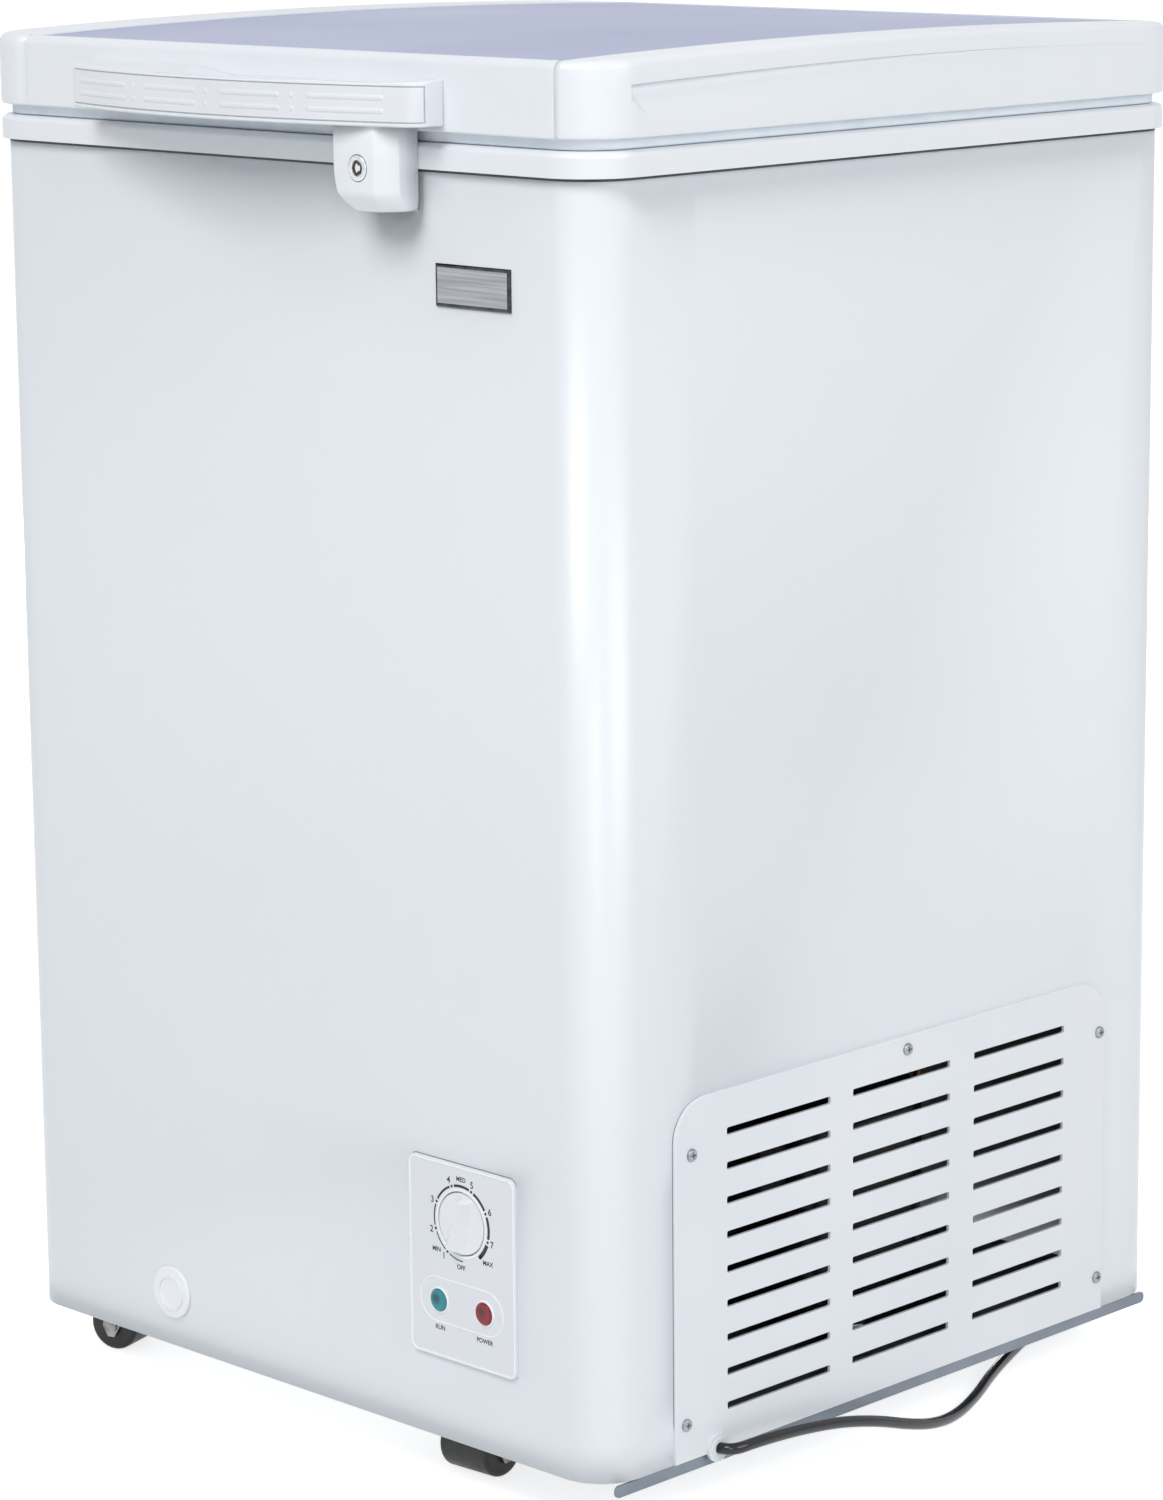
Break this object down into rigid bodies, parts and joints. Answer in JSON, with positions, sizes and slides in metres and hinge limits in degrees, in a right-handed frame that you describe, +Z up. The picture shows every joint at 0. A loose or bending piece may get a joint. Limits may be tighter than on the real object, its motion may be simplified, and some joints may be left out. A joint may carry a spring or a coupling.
{
  "type": "chest freezer",
  "caption": "Small white chest freezer on swivel casters with a hinged locking lid, slotted compressor grille and a dial thermostat.",
  "frame": {"origin": "on the floor, in the middle of the object's box without the mains lead", "axes": "+Z up, front towards -Y, compressor bay and mains lead at +X"},
  "size_m": [0.5446, 0.6749, 0.85],
  "materials": {
    "cabinet_enamel": "gloss white enamel",
    "lid_enamel": "gloss white enamel",
    "galvanised_sheet": "galvanised",
    "zinc_steel": "zinc plated",
    "liner_aluminium": "satin",
    "insulation_foam": "rigid foam",
    "frame_plastic": "satin gloss",
    "lid_plastic": "gloss",
    "white_plastic": "gloss",
    "grille_plastic": "satin gloss",
    "grip_plastic": "satin",
    "knob_plastic": "gloss",
    "cap_plastic": "gloss",
    "basket_plastic": "gloss",
    "gasket_rubber": "soft matte",
    "mount_rubber": "matte",
    "lead_rubber": "satin",
    "black_plastic": "satin",
    "wheel_plastic": "satin",
    "compressor_black": "satin black enamel",
    "copper": "drawn tube",
    "white_screw": "gloss",
    "green_lens": "clear gloss",
    "red_lens": "clear gloss",
    "badge_border": "gloss",
    "badge_face": "satin",
    "lock_chrome": "polished"
  },
  "bodies": {
    "cabinet": {"outer_cabinet": "cabinet_enamel", "rear_panel": "galvanised_sheet", "bottom_panel": "galvanised_sheet", "cabinet_foam": "insulation_foam", "inner_liner": "liner_aluminium", "top_frame": "frame_plastic", "compressor_base": "galvanised_sheet", "compressor": "compressor_black", "compressor_mounts": "mount_rubber", "compressor_bolts": "zinc_steel", "terminal_cover": "black_plastic", "filter_drier": "copper", "refrigerant_tubes": "copper", "vent_grille": "grille_plastic", "grille_screws": "white_screw", "cord_grommet": "white_plastic", "control_panel": "white_plastic", "thermostat": "black_plastic", "green_lamp": "green_lens", "red_lamp": "red_lens", "badge_surround": "badge_border", "badge_plate": "badge_face", "drain_tube": "white_plastic", "lock_keeper": "zinc_steel", "hinge_brackets": "zinc_steel", "hinge_pins": "zinc_steel", "cabinet_screws": "zinc_steel", "caster_plates": "zinc_steel", "power_cord": "lead_rubber", "cord_coil": "lead_rubber", "mains_plug": "black_plastic"},
    "lid": {"lid_top_skin": "lid_enamel", "lid_front_trim": "lid_plastic", "lid_left_cap": "lid_plastic", "lid_right_cap": "lid_plastic", "lid_rear_trim": "lid_plastic", "lid_foam": "insulation_foam", "lid_liner": "white_plastic", "lid_gasket": "gasket_rubber", "lid_handle": "lid_plastic", "handle_grip_plate": "grip_plastic", "lid_screws": "zinc_steel", "lock_housing": "lid_plastic", "hinge_leaves": "zinc_steel"},
    "lock": {"lock_cylinder": "lock_chrome", "lock_cam": "zinc_steel"},
    "thermostat_knob": {"thermostat_knob": "knob_plastic"},
    "drain_cap": {"drain_cap": "cap_plastic"},
    "drain_plug": {"drain_plug": "cap_plastic"},
    "basket": {"basket_floor": "basket_plastic", "basket_ends": "basket_plastic", "basket_sides": "basket_plastic"},
    "caster_front_left": {"caster_fork_front_left": "zinc_steel"},
    "wheel_front_left": {"caster_wheel_front_left": "wheel_plastic"},
    "caster_front_right": {"caster_fork_front_right": "zinc_steel"},
    "wheel_front_right": {"caster_wheel_front_right": "wheel_plastic"},
    "caster_rear_left": {"caster_fork_rear_left": "zinc_steel"},
    "wheel_rear_left": {"caster_wheel_rear_left": "wheel_plastic"},
    "caster_rear_right": {"caster_fork_rear_right": "zinc_steel"},
    "wheel_rear_right": {"caster_wheel_rear_right": "wheel_plastic"}
  },
  "joints": [
    {"name": "lid_hinge", "type": "hinge", "parent": "cabinet", "child": "lid", "pos_m": [0, 0.28275, 0.8], "axis": [-1, 0, 0], "range_deg": [0, 78]},
    {"name": "lock_turn", "type": "hinge", "parent": "lid", "child": "lock", "pos_m": [0.107, -0.27305, 0.783], "axis": [0, -1, 0], "range_deg": [0, 90]},
    {"name": "thermostat_turn", "type": "hinge", "parent": "cabinet", "child": "thermostat_knob", "pos_m": [0.1476, -0.24375, 0.1729], "axis": [0, -1, 0], "range_deg": [-116, 203]},
    {"name": "drain_cap_pull", "type": "slide", "parent": "cabinet", "child": "drain_cap", "axis": [0, -1, 0], "range_m": [0, 0.025]},
    {"name": "drain_plug_lift", "type": "slide", "parent": "cabinet", "child": "drain_plug", "axis": [0, 0, 1], "range_m": [0, 0.03]},
    {"name": "basket_slide", "type": "slide", "parent": "cabinet", "child": "basket", "axis": [-1, 0, 0], "range_m": [0, 0.2]},
    {"name": "caster_swivel_front_left", "type": "hinge", "parent": "cabinet", "child": "caster_front_left", "pos_m": [-0.215, -0.18275, 0.045], "axis": [0, 0, 1], "continuous": true},
    {"name": "wheel_turn_front_left", "type": "hinge", "parent": "caster_front_left", "child": "wheel_front_left", "pos_m": [-0.22648, -0.18626, 0.017], "axis": [-0.2924, 0.9563, 0], "continuous": true},
    {"name": "caster_swivel_front_right", "type": "hinge", "parent": "cabinet", "child": "caster_front_right", "pos_m": [0.11, -0.18275, 0.045], "axis": [0, 0, 1], "continuous": true},
    {"name": "wheel_turn_front_right", "type": "hinge", "parent": "caster_front_right", "child": "wheel_front_right", "pos_m": [0.11084, -0.19472, 0.017], "axis": [-0.9976, -0.0698, 0], "continuous": true},
    {"name": "caster_swivel_rear_left", "type": "hinge", "parent": "cabinet", "child": "caster_rear_left", "pos_m": [-0.215, 0.21125, 0.045], "axis": [0, 0, 1], "continuous": true},
    {"name": "wheel_turn_rear_left", "type": "hinge", "parent": "caster_rear_left", "child": "wheel_rear_left", "pos_m": [-0.22271, 0.22044, 0.017], "axis": [0.766, 0.6428, 0], "continuous": true},
    {"name": "caster_swivel_rear_right", "type": "hinge", "parent": "cabinet", "child": "caster_rear_right", "pos_m": [0.11, 0.21125, 0.045], "axis": [0, 0, 1], "continuous": true},
    {"name": "wheel_turn_rear_right", "type": "hinge", "parent": "caster_rear_right", "child": "wheel_rear_right", "pos_m": [0.11919, 0.21896, 0.017], "axis": [0.6428, -0.766, 0], "continuous": true}
  ]
}
